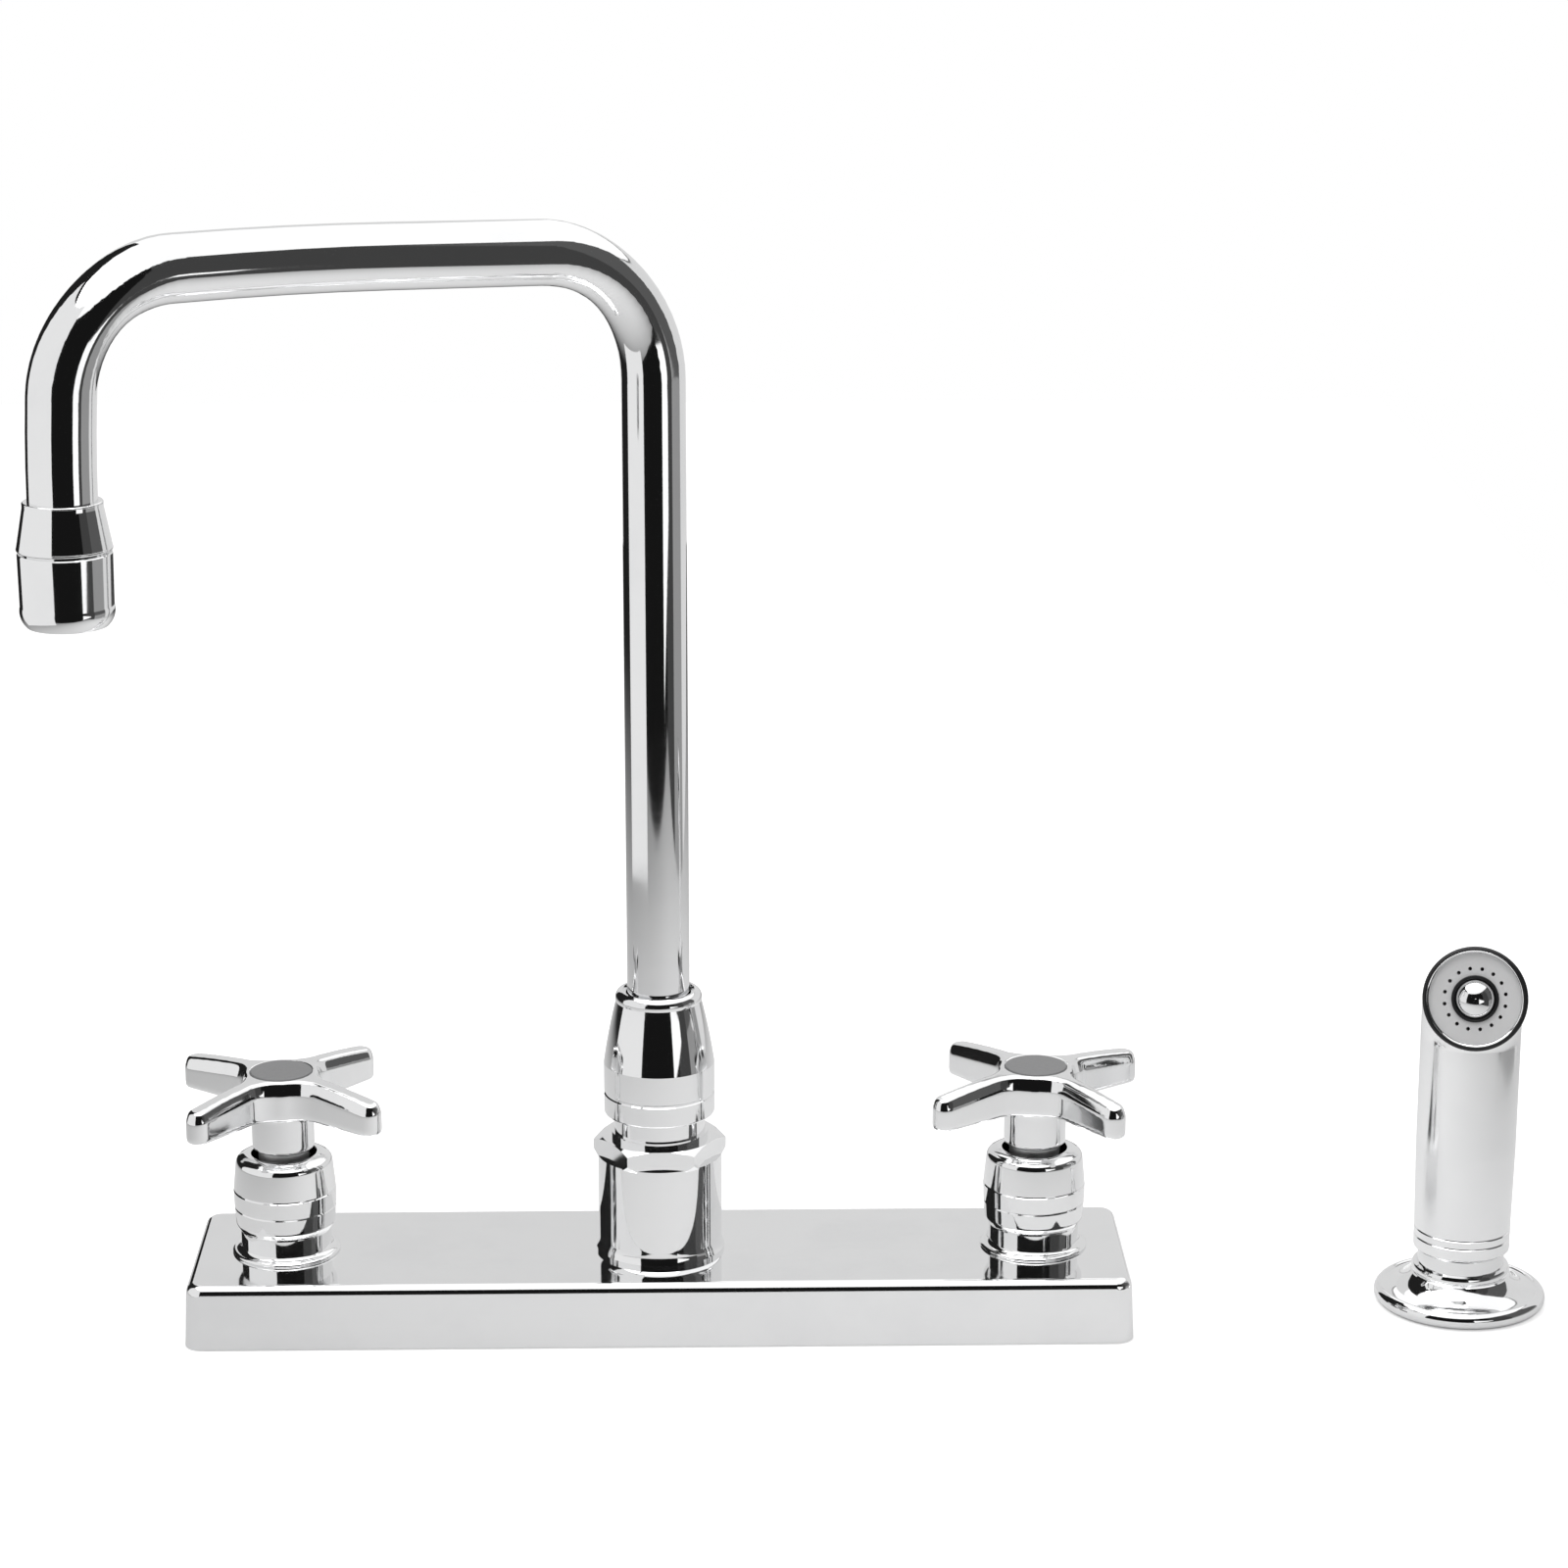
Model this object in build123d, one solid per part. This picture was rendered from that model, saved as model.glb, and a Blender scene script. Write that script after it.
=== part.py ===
from build123d import *
import os
from math import cos, radians, sin, sqrt

# A two-handle kitchen faucet for a deck with holes 8 inches apart, with a side spray.
# Millimetres. X runs along the deck plate, +Y points to the wall, +Z is up.
# The origin is the middle of the deck plate, on the deck.

os.makedirs("parts", exist_ok=True)

# Deck plate
PLATE_LENGTH = 254.0
PLATE_DEPTH = 58.2
PLATE_HEIGHT = 17.4
PLATE_DRAFT = 2.6
PLATE_CORNER = 5.0
PLATE_EDGE = 2.6
PLATE_WALL = 2.2
PLATE_SKIN = 2.0
GASKET_WIDTH = 7.0
GASKET_HEIGHT = 2.0

# Centres, and the thickest deck that the nuts hold where they are set
HANDLE_X = 101.6
SPRAY_X = 219.0
DECK_GRIP = 30.0

# Waterway casting
CROSS_TUBE_Z = 8.6
CROSS_TUBE_RADIUS = 6.0
CROSS_TUBE_BORE = 4.0
VALVE_BODY_RADIUS = 10.2
VALVE_BODY_TOP = 25.0
CARTRIDGE_RADIUS = 8.4
CARTRIDGE_SEAT_Z = -8.0
SHANK_RADIUS = 10.45
SHANK_THREAD_RADIUS = 10.3
SHANK_END_Z = -60.0
SUPPLY_THREAD_LENGTH = 12.0
THREAD_RELIEF = 1.6
WASHER_THICKNESS = 1.5
NUT_HEIGHT = 14.0
NUT_COLLAR_RADIUS = 14.5
NUT_FLANGE_RADIUS = 19.0
NUT_WING_REACH = 21.5
FLANGE_HEIGHT = 2.5
SOCKET_RADIUS = 12.3
SOCKET_BORE = 8.9
SOCKET_TOP = 34.0
SOCKET_FLOOR_Z = 4.0
NIPPLE_RADIUS = 6.85
NIPPLE_BORE = 3.4
NIPPLE_END_Z = -34.0
RISER_RADIUS = 5.0
RISER_TOP = 14.0

# Valve cartridge, its ceramic discs and stem
DISC_RADIUS = 6.9
DISC_THICKNESS = 3.0
SEAL_THICKNESS = 2.0
PORT_OUTER = 5.2
PORT_INNER = 1.8
PORT_ANGLE = 76.0
CARTRIDGE_HEAD_RADIUS = 10.0
CARTRIDGE_HEAD_TOP = 29.0
CARTRIDGE_NECK_RADIUS = 6.75
CARTRIDGE_NECK_TOP = 53.0
STEM_RADIUS = 4.5
STEM_TOP = 60.0
STEM_FLAT = 3.7
STEM_FLAT_LENGTH = 6.5
STEM_SHOULDER_Z = 19.2
STEM_SEAL_WIRE = 0.45
STEM_SEAL_Z = (28.0, 34.0)
HANDLE_SCREW_RADIUS = 2.0
SCREW_HEAD_RADIUS = 3.9
RUNNING_GAP = 0.05
ASSEMBLY_GAP = 0.4

# Cross handle
ARM_REACH = 35.0
ARM_HALF_WIDTH = 3.3
BOSS_RADIUS = 10.8
BOSS_BOTTOM = 57.5
ROOT_FILLET = 8.0
SHOULDER_Z = 62.0
SHOULDER_DRAFT = 17.5
SHOULDER_SPREAD = 0.95
SHOULDER_NARROWING = 0.94
HANDLE_TOP = 68.8
HANDLE_DROOP_RADIUS = 213.0
HANDLE_EDGE = 1.2
HANDLE_UNDER_EDGE = 0.9
SKIRT_RADIUS = 8.4
SKIRT_BOTTOM = 46.8
BUTTON_RADIUS = 8.25
BUTTON_SEAT_Z = 67.2
SCREW_SEAT_Z = 63.0
LEFT_ARM_ANGLE = 52.0
RIGHT_ARM_ANGLE = 36.0

# Spout hub and nut
HUB_RADIUS = 16.7
HUB_FOOT_RADIUS = 17.4
HUB_HEX_BOTTOM = 43.7
HUB_HEX_TOP = 50.0
HUB_HEX_CORNER = 17.9
HUB_RING_RADIUS = 13.1
HUB_RING_TOP = 51.5
HUB_TOP = 63.0
HUB_LEDGE_Z = 36.0
NUT_BOTTOM = 56.5
NUT_BAND_RADIUS = 14.9
NUT_TOP = 91.0
NUT_BEARING_BORE = 12.0
NUT_LEDGE_Z = 74.0

# Gooseneck spout, drawn in its own upright plane that swings about the hub
TUBE_RADIUS = 8.35
TUBE_WALL = 1.2
SWING = 34.0
FERRULE_RADIUS = 10.8
FERRULE_BOTTOM = 40.0
SPOUT_SEAL_WIRE = 0.75
SPOUT_SEAL_Z = (45.0, 52.0)
RISER_STRAIGHT_TOP = 255.6
FIRST_BEND_RADIUS = 35.8
RUN_RISE = 3.5
RUN_STRAIGHT = 43.2
RUN_ARC_RADIUS = 1094.0
RUN_ARC_TURN = 3.1
SECOND_BEND_RADIUS = 30.1
TAIL_RADIUS = 346.0
TAIL_TURN = 4.1
BEND_SQUEEZE = 0.10
BEND_SPREAD = 0.035
TUBE_END_Z = 238.0

# Outlet and aerator
COLLAR_TOP = 243.6
COLLAR_BOTTOM = 231.9
AERATOR_BOTTOM = 213.5
AERATOR_SHOULDER = 231.3
AERATOR_NECK_RADIUS = 9.6
AERATOR_NECK_TOP = 236.5
AERATOR_INSERT_RADIUS = 9.2
GRID_HOLE = 0.85
GRID_PITCH = 2.35

# Side spray: deck guide and hand piece
GUIDE_RADIUS = 23.2
GUIDE_SHANK_RADIUS = 14.0
GUIDE_THREAD_RADIUS = 13.8
GUIDE_END_Z = -44.0
GUIDE_BORE = 10.8
GUIDE_TOP = 15.4
GUIDE_NUT_RADIUS = 20.0
GUIDE_NUT_HEIGHT = 9.0
LINER_BORE = 9.7
LINER_BOTTOM = -18.0
GRIP_BOTTOM = 15.6
GRIP_RADIUS = 13.4
GRIP_FOOT_RADIUS = 13.0
GRIP_STRAIGHT_Z = 45.0
TAIL_STEM_RADIUS = 9.2
TAIL_STEM_BOTTOM = -6.0
SPIGOT_RADIUS = 6.0
HOSE_HEX_TOP = -7.5
HOSE_THREAD_TOP = -14.0
HOSE_THREAD_RADIUS = 6.6
HOSE_END_Z = -24.0
SPRAY_TURN = -9.0
BEND_Z = 75.6
BEND_RADIUS = 15.0
NOSE_ELEVATION = 19.0
NOSE_LENGTH = 8.3
BEZEL_LENGTH = 3.0
FACE_RADIUS = 12.0
FACE_THICKNESS = 1.7
SPRAY_HOLES = 16
SPRAY_HOLE_RADIUS = 0.5
SPRAY_HOLE_CIRCLE = 8.1
DOME_RADIUS = 5.5
DOME_HEIGHT = 3.8
DOME_RING_RADIUS = 6.2

# Thumb lever on the back of the hand piece, and the valve that it opens
LEVER_HALF_WIDTH = 9.0
LEVER_CREST_RADIUS = 15.0
LEVER_INNER = 10.5
POCKET_FLOOR = 8.4
POCKET_TAIL = 24.5
LEVER_TOP_ANGLE = 48.0
LEVER_FLARE = 12.0
LEVER_TAIL = 27.0
PIN_ANGLE = 41.0
PIN_REACH = 22.6
PIN_RADIUS = 1.2
PIN_LENGTH = 17.0
LUG_RADIUS = 2.6
LUG_WIDTH = 6.4
PLUNGER_Z = 70.0
PLUNGER_RADIUS = 1.8
PLUNGER_TIP = 12.0
CHAMBER_RADIUS = 4.6
CHAMBER_END = -9.0
VALVE_DISC_RADIUS = 3.9
SPRING_SEAT_Y = 1.0
SPRING_RADIUS = 2.6
SPRING_WIRE = 0.35
SPRING_PITCH = 1.25
SPRING_LENGTH = 5.0
GLAND_END = 3.0
INLET_RADIUS = 3.5
INLET_Y = -4.5
OUTLET_RADIUS = 1.8
OUTLET_Y = 5.2
OUTLET_TOP = 79.5

LOW = (Align.CENTER, Align.CENTER, Align.MIN)


def rod(radius, bottom, top):
    """An upright cylinder about Z."""
    return Pos(0, 0, bottom) * Cylinder(radius, top - bottom, align=LOW)


def tube(outer, inner, bottom, top):
    """An upright ring about Z."""
    return rod(outer, bottom, top) - rod(inner, bottom, top)


def outline(start, *steps):
    """A closed face. A step is the next corner, or the middle and the end of an arc."""
    edges = []
    here = start
    for step in steps:
        if isinstance(step[0], tuple):
            edges.append(ThreePointArc(here, step[0], step[1]))
            here = step[1]
        else:
            edges.append(Line(here, step))
            here = step
    edges.append(Line(here, start))
    return make_face(edges)


def turned(start, *steps):
    """A solid of revolution about Z from an outline in radius and height."""
    return revolve(Plane.XZ * outline(start, *steps), Axis.Z)


def around(piece, count, first=0.0):
    """Copies of a piece spaced evenly about Z."""
    return [Rot(0, 0, first + 360 * k / count) * piece for k in range(count)]


def save(name, *solids):
    """Writes one node, as a single solid or as a group of separate ones."""
    shape = solids[0] if len(solids) == 1 else Compound(children=list(solids))
    export_step(shape, f"parts/{name}.step")


# Deck plate: a die-cast shell, open below, with the draft that a casting needs
def plate_slab(inset, height):
    base = RectangleRounded(
        PLATE_LENGTH - 2 * inset, PLATE_DEPTH - 2 * inset, PLATE_CORNER - inset
    )
    return extrude(base, height, taper=PLATE_DRAFT)


def deck_cover():
    shell = plate_slab(0, PLATE_HEIGHT)
    shell = fillet(shell.faces().sort_by(Axis.Z)[-1].edges(), PLATE_EDGE)
    shell -= plate_slab(PLATE_WALL, PLATE_HEIGHT - PLATE_SKIN)
    shell -= rod(SOCKET_RADIUS + ASSEMBLY_GAP, 0, PLATE_HEIGHT)
    for x in (-HANDLE_X, HANDLE_X):
        shell -= Pos(x, 0, 0) * rod(VALVE_BODY_RADIUS + ASSEMBLY_GAP, 0, PLATE_HEIGHT)
    return shell


def cover_gasket():
    inner = RectangleRounded(
        PLATE_LENGTH - 2 * (PLATE_WALL + GASKET_WIDTH),
        PLATE_DEPTH - 2 * (PLATE_WALL + GASKET_WIDTH),
        PLATE_CORNER - PLATE_WALL,
    )
    return plate_slab(PLATE_WALL, GASKET_HEIGHT) - extrude(inner, GASKET_HEIGHT)


# Waterway: two valve bodies with their shanks, the cross tube and the spout socket
def supply_shank():
    thread_top = SHANK_END_Z + SUPPLY_THREAD_LENGTH
    relief_top = thread_top + THREAD_RELIEF
    return turned(
        (0, 0),
        (0, SHANK_END_Z),
        (SHANK_RADIUS - 0.8, SHANK_END_Z),
        (SHANK_RADIUS, SHANK_END_Z + 0.8),
        (SHANK_RADIUS, thread_top),
        (SHANK_RADIUS - 0.7, thread_top),
        (SHANK_RADIUS - 0.7, relief_top),
        (SHANK_THREAD_RADIUS, relief_top),
        (SHANK_THREAD_RADIUS, WASHER_TOP),
        (SHANK_RADIUS, WASHER_TOP),
        (SHANK_RADIUS, 0),
    )


def body_casting():
    body = Pos(0, 0, CROSS_TUBE_Z) * Rot(0, 90, 0) * Cylinder(CROSS_TUBE_RADIUS, 2 * HANDLE_X)
    body += rod(SOCKET_RADIUS, 0, SOCKET_TOP)
    body += rod(SOCKET_RADIUS + 3, 0, FLANGE_HEIGHT)
    body += rod(NIPPLE_RADIUS, NIPPLE_END_Z, 0)
    valve = rod(VALVE_BODY_RADIUS, 0, VALVE_BODY_TOP)
    valve += rod(VALVE_BODY_RADIUS + 4, 0, FLANGE_HEIGHT)
    valve += supply_shank()
    for x in (-HANDLE_X, HANDLE_X):
        body += Pos(x, 0, 0) * valve
    body -= Pos(0, 0, CROSS_TUBE_Z) * Rot(0, 90, 0) * Cylinder(CROSS_TUBE_BORE, 2 * HANDLE_X)
    body -= rod(SOCKET_BORE, SOCKET_FLOOR_Z, SOCKET_TOP)
    body += rod(RISER_RADIUS, SOCKET_FLOOR_Z - 1, RISER_TOP)
    body -= rod(NIPPLE_BORE, NIPPLE_END_Z, RISER_TOP)
    bore = rod(CARTRIDGE_RADIUS, CARTRIDGE_SEAT_Z, VALVE_BODY_TOP)
    bore += rod(PORT_OUTER + 0.2, SHANK_END_Z, CARTRIDGE_SEAT_Z)
    for x in (-HANDLE_X, HANDLE_X):
        body -= Pos(x, 0, 0) * bore
    return body


WASHER_TOP = -DECK_GRIP - 0.5
NUT_SEAT_Z = WASHER_TOP - WASHER_THICKNESS


def mounting_washer():
    return tube(NUT_FLANGE_RADIUS, SHANK_THREAD_RADIUS, NUT_SEAT_Z, WASHER_TOP)


def mounting_nut():
    bottom = NUT_SEAT_Z - NUT_HEIGHT
    nut = rod(NUT_FLANGE_RADIUS, NUT_SEAT_Z - 3, NUT_SEAT_Z)
    nut += rod(NUT_COLLAR_RADIUS, bottom, NUT_SEAT_Z)
    wing = Pos(NUT_WING_REACH - 7.5, 0, bottom + 1) * Box(15, 4, NUT_HEIGHT - 2, align=LOW)
    for blade in around(wing, 4, 45):
        nut += blade
    return nut - rod(SHANK_THREAD_RADIUS, bottom, NUT_SEAT_Z)


# Ceramic valve: cartridge shell, seat seal, fixed disc, moving disc, stem and O-rings
FIXED_DISC_Z = CARTRIDGE_SEAT_Z + SEAL_THICKNESS
MOVING_DISC_Z = FIXED_DISC_Z + DISC_THICKNESS


def port_pair():
    half = radians(PORT_ANGLE / 2)
    tip = (2 * PORT_OUTER * cos(half), 2 * PORT_OUTER * sin(half))
    wedge = make_face(Polyline((0, 0), tip, (tip[0], -tip[1]), close=True))
    ports = (Circle(PORT_OUTER) - Circle(PORT_INNER)) & (wedge + Rot(0, 0, 180) * wedge)
    return extrude(ports, DISC_THICKNESS)


def fixed_disc():
    return Pos(0, 0, FIXED_DISC_Z) * (rod(DISC_RADIUS, 0, DISC_THICKNESS) - port_pair())


def moving_disc():
    disc = rod(DISC_RADIUS - 0.2, RUNNING_GAP, DISC_THICKNESS) - Rot(0, 0, 90) * port_pair()
    return Pos(0, 0, MOVING_DISC_Z) * disc


def seat_seal():
    return tube(DISC_RADIUS, PORT_OUTER + 0.2, CARTRIDGE_SEAT_Z, FIXED_DISC_Z)


def cartridge():
    stem_bore = STEM_RADIUS + RUNNING_GAP
    shell = turned(
        (DISC_RADIUS, CARTRIDGE_SEAT_Z),
        (CARTRIDGE_RADIUS, CARTRIDGE_SEAT_Z),
        (CARTRIDGE_RADIUS, VALVE_BODY_TOP),
        (CARTRIDGE_HEAD_RADIUS, VALVE_BODY_TOP),
        (CARTRIDGE_HEAD_RADIUS, CARTRIDGE_HEAD_TOP),
        (CARTRIDGE_NECK_RADIUS, CARTRIDGE_HEAD_TOP),
        (CARTRIDGE_NECK_RADIUS, CARTRIDGE_NECK_TOP - 0.6),
        (CARTRIDGE_NECK_RADIUS - 0.6, CARTRIDGE_NECK_TOP),
        (stem_bore, CARTRIDGE_NECK_TOP),
        (stem_bore, STEM_SHOULDER_Z + 0.1),
        (DISC_RADIUS, STEM_SHOULDER_Z + 0.1),
    )
    window = Pos(0, 0, CROSS_TUBE_Z) * Rot(0, 90, 0) * Cylinder(3.4, 2 * CARTRIDGE_RADIUS)
    return shell - window


def flatted(post):
    """The stem's top, cut to the two flats that turn it with the handle."""
    flat = Box(12, 2, STEM_FLAT_LENGTH, align=LOW)
    for side in (-1, 1):
        post -= Pos(0, side * (STEM_FLAT + 1), STEM_TOP - STEM_FLAT_LENGTH) * flat
    return post


def stem():
    foot = 6.0
    waist = 3.0
    shoulder = DISC_RADIUS - 0.6
    post = turned(
        (0, 0),
        (foot, 0),
        (foot, 2.5),
        (waist, 2.5),
        (waist, 12.5),
        (shoulder, 12.5),
        (shoulder, STEM_SHOULDER_Z),
        (STEM_RADIUS, STEM_SHOULDER_Z),
        (STEM_RADIUS, STEM_TOP),
        (HANDLE_SCREW_RADIUS, STEM_TOP),
        (HANDLE_SCREW_RADIUS, STEM_TOP - 10),
        (0, STEM_TOP - 11.2),
    )
    for z in STEM_SEAL_Z:
        groove_floor = STEM_RADIUS - 2 * STEM_SEAL_WIRE
        post -= tube(STEM_RADIUS + 1, groove_floor, z - 0.5, z + 0.5)
    return flatted(post)


def stem_seals():
    ring = Torus(STEM_RADIUS - STEM_SEAL_WIRE, STEM_SEAL_WIRE)
    return [Pos(0, 0, z) * ring for z in STEM_SEAL_Z]


# Bonnet: the barrel-shaped chrome cap under each handle
def bonnet():
    return turned(
        (VALVE_BODY_RADIUS, PLATE_HEIGHT),
        (14.8, PLATE_HEIGHT),
        (14.8, 18.5),
        ((14.5, 19.1), (13.9, 19.3)),
        ((12.1, 20.1), (11.65, 21.7)),
        ((11.8, 23.6), (12.9, 24.8)),
        (13.65, 30.2),
        (13.4, 30.5),
        (13.7, 30.8),
        (13.8, 35.1),
        (13.5, 35.4),
        (13.75, 35.7),
        (13.15, 42.4),
        ((12.85, 43.9), (11.8, 44.7)),
        ((10.4, 45.3), (8.8, 45.7)),
        (8.8, 33.0),
        (CARTRIDGE_NECK_RADIUS, 33.0),
        (CARTRIDGE_NECK_RADIUS, CARTRIDGE_HEAD_TOP),
        (VALVE_BODY_RADIUS, CARTRIDGE_HEAD_TOP),
    )


# Cross handle: four arms with sloping shoulders that droop to their tips, a boss and a skirt
def cross_plan(spread, narrowing):
    """The handle in plan, grown by a margin, with arms that may narrow to their tips."""
    root = ARM_HALF_WIDTH + spread + narrowing / 2
    tip = ARM_HALF_WIDTH + spread - narrowing / 2
    reach = ARM_REACH + spread - narrowing / 2
    bar = make_face(
        Polyline((0, -root), (reach - tip, -tip), (reach - tip, tip), (0, root), close=True)
    )
    bar += Pos(reach - tip, 0) * Circle(tip)
    boss = BOSS_RADIUS + spread
    plan = Circle(boss)
    for arm in around(bar, 4):
        plan += arm
    roots = [v for v in plan.vertices() if abs(sqrt(v.X**2 + v.Y**2) - boss) < 0.01]
    return fillet(roots, ROOT_FILLET - spread)


def handle():
    top = HANDLE_TOP + 1
    flank = Pos(0, 0, BOSS_BOTTOM) * extrude(cross_plan(0, 0), top - BOSS_BOTTOM)
    wide = cross_plan(SHOULDER_SPREAD, SHOULDER_NARROWING)
    shoulder = Pos(0, 0, BOSS_BOTTOM) * extrude(wide, SHOULDER_Z - BOSS_BOTTOM)
    shoulder += Pos(0, 0, SHOULDER_Z) * extrude(wide, top - SHOULDER_Z, taper=SHOULDER_DRAFT)
    droop = Pos(0, 0, HANDLE_TOP - HANDLE_DROOP_RADIUS) * Sphere(HANDLE_DROOP_RADIUS)
    cross = flank & shoulder & droop
    cross = fillet(cross.faces().sort_by(Axis.Z)[-1].edges(), HANDLE_EDGE)
    cross = fillet(cross.faces().sort_by(Axis.Z)[0].edges(), HANDLE_UNDER_EDGE)
    cross += turned(
        (0, SKIRT_BOTTOM),
        (SKIRT_RADIUS - 0.7, SKIRT_BOTTOM),
        ((SKIRT_RADIUS - 0.2, SKIRT_BOTTOM + 0.2), (SKIRT_RADIUS, SKIRT_BOTTOM + 0.7)),
        (SKIRT_RADIUS, BOSS_BOTTOM + 1),
        (0, BOSS_BOTTOM + 1),
    )
    neck_room = CARTRIDGE_NECK_RADIUS + ASSEMBLY_GAP
    cross -= rod(neck_room, SKIRT_BOTTOM, CARTRIDGE_NECK_TOP + ASSEMBLY_GAP)
    cross -= flatted(rod(STEM_RADIUS, SKIRT_BOTTOM, STEM_TOP))
    cross -= rod(HANDLE_SCREW_RADIUS, STEM_TOP - 1, HANDLE_TOP)
    cross -= rod(SCREW_HEAD_RADIUS + 0.3, SCREW_SEAT_Z, HANDLE_TOP)
    cross -= rod(BUTTON_RADIUS, BUTTON_SEAT_Z, HANDLE_TOP + 1)
    return cross


def handle_screw():
    head_top = SCREW_SEAT_Z + 3
    screw = rod(HANDLE_SCREW_RADIUS, STEM_TOP - 9, SCREW_SEAT_Z + 0.5)
    screw += rod(SCREW_HEAD_RADIUS, SCREW_SEAT_Z, head_top)
    slot = Pos(0, 0, head_top - 1.2) * Box(4.4, 0.9, 2, align=LOW)
    return screw - slot - Rot(0, 0, 90) * slot


def index_button():
    button = rod(BUTTON_RADIUS, BUTTON_SEAT_Z, HANDLE_TOP - 0.1)
    return fillet(button.faces().sort_by(Axis.Z)[-1].edges(), 0.25)


# Spout hub: a flared post with a hexagon, screwed down on the casting's socket
def spout_hub():
    post = turned(
        (SOCKET_RADIUS, PLATE_HEIGHT),
        (HUB_FOOT_RADIUS, PLATE_HEIGHT),
        (HUB_FOOT_RADIUS, 18.3),
        ((16.95, 19.4), (HUB_RADIUS, 21.5)),
        (HUB_RADIUS, HUB_HEX_BOTTOM + 1),
        (SOCKET_RADIUS, HUB_HEX_BOTTOM + 1),
    )
    hexagon = Rot(0, 0, 1.5) * RegularPolygon(HUB_HEX_CORNER, 6)
    head = Pos(0, 0, HUB_HEX_BOTTOM) * extrude(hexagon, HUB_HEX_TOP - HUB_HEX_BOTTOM)
    head &= turned(
        (0, HUB_HEX_BOTTOM),
        (16.3, HUB_HEX_BOTTOM),
        (HUB_HEX_CORNER, 46.0),
        (HUB_HEX_CORNER, 48.6),
        (15.6, HUB_HEX_TOP),
        (0, HUB_HEX_TOP),
    )
    neck = rod(SOCKET_RADIUS, HUB_HEX_BOTTOM, HUB_TOP)
    neck += rod(HUB_RING_RADIUS, HUB_HEX_BOTTOM, HUB_RING_TOP)
    ledge = rod(SOCKET_RADIUS + 1, HUB_LEDGE_Z, HUB_HEX_BOTTOM + 1)
    hub = post + head + neck + ledge
    return hub - rod(FERRULE_RADIUS + RUNNING_GAP, HUB_LEDGE_Z, HUB_TOP)


def hub_washer():
    return tube(SOCKET_RADIUS, SOCKET_BORE, SOCKET_TOP, HUB_LEDGE_Z)


def spout_nut():
    return turned(
        (SOCKET_RADIUS, NUT_BOTTOM),
        (14.2, NUT_BOTTOM),
        ((14.7, NUT_BOTTOM + 0.2), (NUT_BAND_RADIUS, NUT_BOTTOM + 0.7)),
        (NUT_BAND_RADIUS, 62.0),
        (NUT_BAND_RADIUS - 0.3, 62.3),
        (NUT_BAND_RADIUS - 0.3, 62.7),
        (NUT_BAND_RADIUS, 63.0),
        (NUT_BAND_RADIUS, 70.7),
        ((13.4, 79.5), (11.5, 88.0)),
        ((11.1, 90.3), (10.2, NUT_TOP)),
        (9.6, NUT_TOP),
        (9.4, 90.2),
        (8.75, 90.2),
        (8.75, 87.0),
        (10.6, NUT_LEDGE_Z),
        (NUT_BEARING_BORE, NUT_LEDGE_Z),
        (NUT_BEARING_BORE, HUB_TOP),
        (SOCKET_RADIUS, HUB_TOP),
    )


def spout_thrust_washer():
    return tube(NUT_BEARING_BORE, FERRULE_RADIUS + 0.1, HUB_TOP, HUB_TOP + 1)


FERRULE_FLANGE_TOP = HUB_TOP + 4


def spout_bearing():
    ring = tube(NUT_BEARING_BORE, TUBE_RADIUS + 0.08, FERRULE_FLANGE_TOP + 0.05, NUT_LEDGE_Z)
    split = Pos(TUBE_RADIUS + 2, 0, FERRULE_FLANGE_TOP) * Box(8, 1, 10, align=LOW)
    return ring - split


# Diverter: sends water to the spout, or down the riser to the spray
def diverter_sleeve():
    sleeve = rod(SOCKET_BORE, RISER_TOP, 30)
    sleeve -= rod(5.4 + RUNNING_GAP, 16, 30)
    sleeve -= rod(NIPPLE_BORE, RISER_TOP, 16)
    port = Pos(7.2, 0, 0) * rod(1.2, RISER_TOP, 30)
    for hole in around(port, 6):
        sleeve -= hole
    return sleeve


def diverter_piston():
    piston = rod(5.4, 16.05, 26) - rod(3.6, 18, 26)
    return piston - Pos(0, 0, 21) * Rot(90, 0, 0) * Cylinder(1.0, 14)


# Gooseneck: a bent tube whose two tight bends are a little flattened, as bent tube is
SPOUT_OUT = (-cos(radians(SWING)), -sin(radians(SWING)), 0)
SPOUT_SIDE = (SPOUT_OUT[1], -SPOUT_OUT[0], 0)
SPOUT_PLANE = Plane(origin=(0, 0, 0), x_dir=SPOUT_OUT, z_dir=SPOUT_SIDE)


def spout_route():
    """The tube's centre line, in reach and height."""
    riser = Line((0, FERRULE_BOTTOM), (0, RISER_STRAIGHT_TOP))
    first = JernArc(riser @ 1, riser % 1, FIRST_BEND_RADIUS, -(90 - RUN_RISE))
    run = PolarLine(first @ 1, RUN_STRAIGHT, direction=first % 1)
    sag = JernArc(run @ 1, run % 1, RUN_ARC_RADIUS, -RUN_ARC_TURN)
    second_turn = 90 + RUN_RISE - RUN_ARC_TURN - TAIL_TURN
    second = JernArc(sag @ 1, sag % 1, SECOND_BEND_RADIUS, -second_turn)
    tail = JernArc(second @ 1, second % 1, TAIL_RADIUS, -TAIL_TURN)
    drop = Line(tail @ 1, ((tail @ 1).X, TUBE_END_Z))
    return riser, first, run, sag, second, tail, drop


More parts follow.
